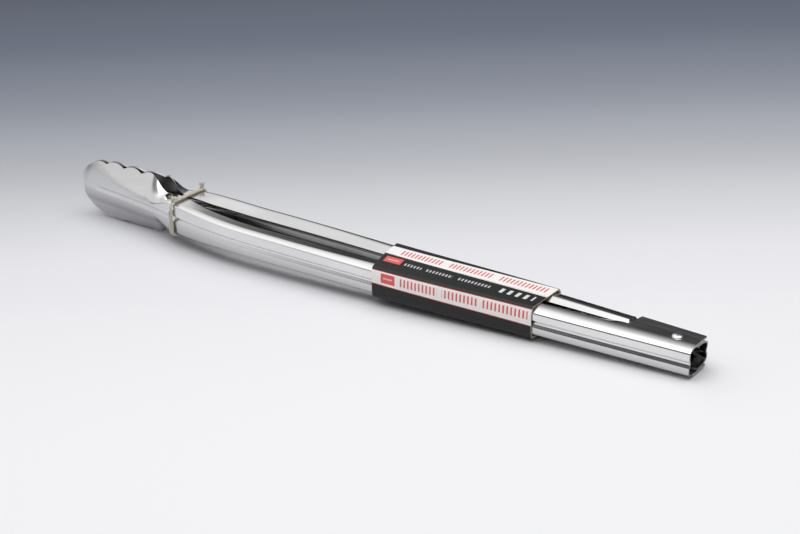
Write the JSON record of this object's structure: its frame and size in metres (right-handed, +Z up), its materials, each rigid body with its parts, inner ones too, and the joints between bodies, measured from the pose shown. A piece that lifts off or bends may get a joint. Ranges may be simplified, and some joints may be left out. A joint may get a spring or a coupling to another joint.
{
  "type": "kitchen tongs",
  "caption": "Long sheet steel kitchen tongs with scalloped spoon-like heads, a riveted sprung pivot in deep ears, a printed card sleeve and a string tie at the neck.",
  "frame": {"origin": "middle of the bounding box in X and Y, at the lowest points that the tongs lie on", "axes": "+X from the scalloped heads to the pivot end, +Y from the outer arm to the inner arm, +Z up with the tongs lying on a side"},
  "size_m": [0.4, 0.0346, 0.0366],
  "materials": {
    "polished_steel": "polished stainless steel",
    "pin_steel": "bright domed rivet",
    "spring_steel": "drawn wire",
    "printed_card": "gloss printed card, black with white and red",
    "string": "twisted off-white string"
  },
  "bodies": {
    "outer_side": {"outer_arm": "polished_steel", "pivot_pin": "pin_steel", "torsion_spring": "spring_steel", "sleeve_near_half": "printed_card", "tie_string": "string", "tie_knot": "string"},
    "inner_side": {"inner_arm": "polished_steel", "sleeve_far_half": "printed_card", "tie_tuft": "string"}
  },
  "joints": [
    {"name": "arm_pivot", "type": "hinge", "parent": "outer_side", "child": "inner_side", "pos_m": [0.18893, 0.0003, 0.00884], "axis": [-0.0264, 0, -0.9997], "range_deg": [0, 22], "stiffness_Nm_per_rad": 0.27, "springref_deg": 34.38, "deforming": ["torsion_spring", "tie_string"]}
  ]
}
